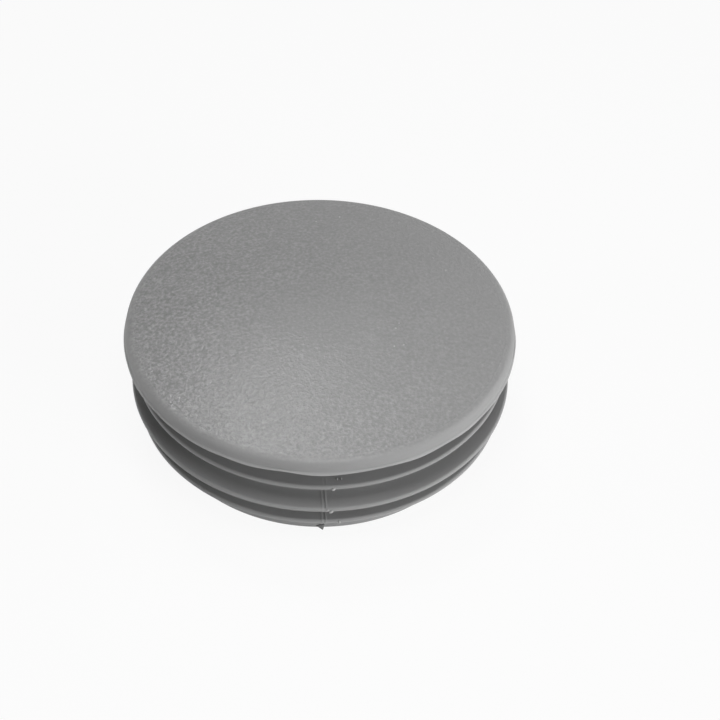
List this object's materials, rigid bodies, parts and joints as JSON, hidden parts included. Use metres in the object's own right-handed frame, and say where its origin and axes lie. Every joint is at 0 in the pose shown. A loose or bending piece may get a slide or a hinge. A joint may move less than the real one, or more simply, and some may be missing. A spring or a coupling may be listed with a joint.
{
  "type": "tube end cap",
  "caption": "Round plastic end cap for a tube: shallow domed head over a hollow sleeve with thin flexible fins that grip the bore.",
  "frame": {"origin": "centre of the sleeve's open end, which the cap stands on", "axes": "+Z along the cap's axis, from the open end to the domed head and out of the tube; -Y faces the viewer, and the mould's witness lines lie at -Y and +Y"},
  "size_m": [0.06, 0.06, 0.0216],
  "materials": {
    "plastic": "moulded grey polyethylene, fine spark-eroded grain on the head, smoother semi-gloss sleeve and fins"
  },
  "bodies": {
    "root": {"end_cap": "plastic"}
  },
  "joints": []
}
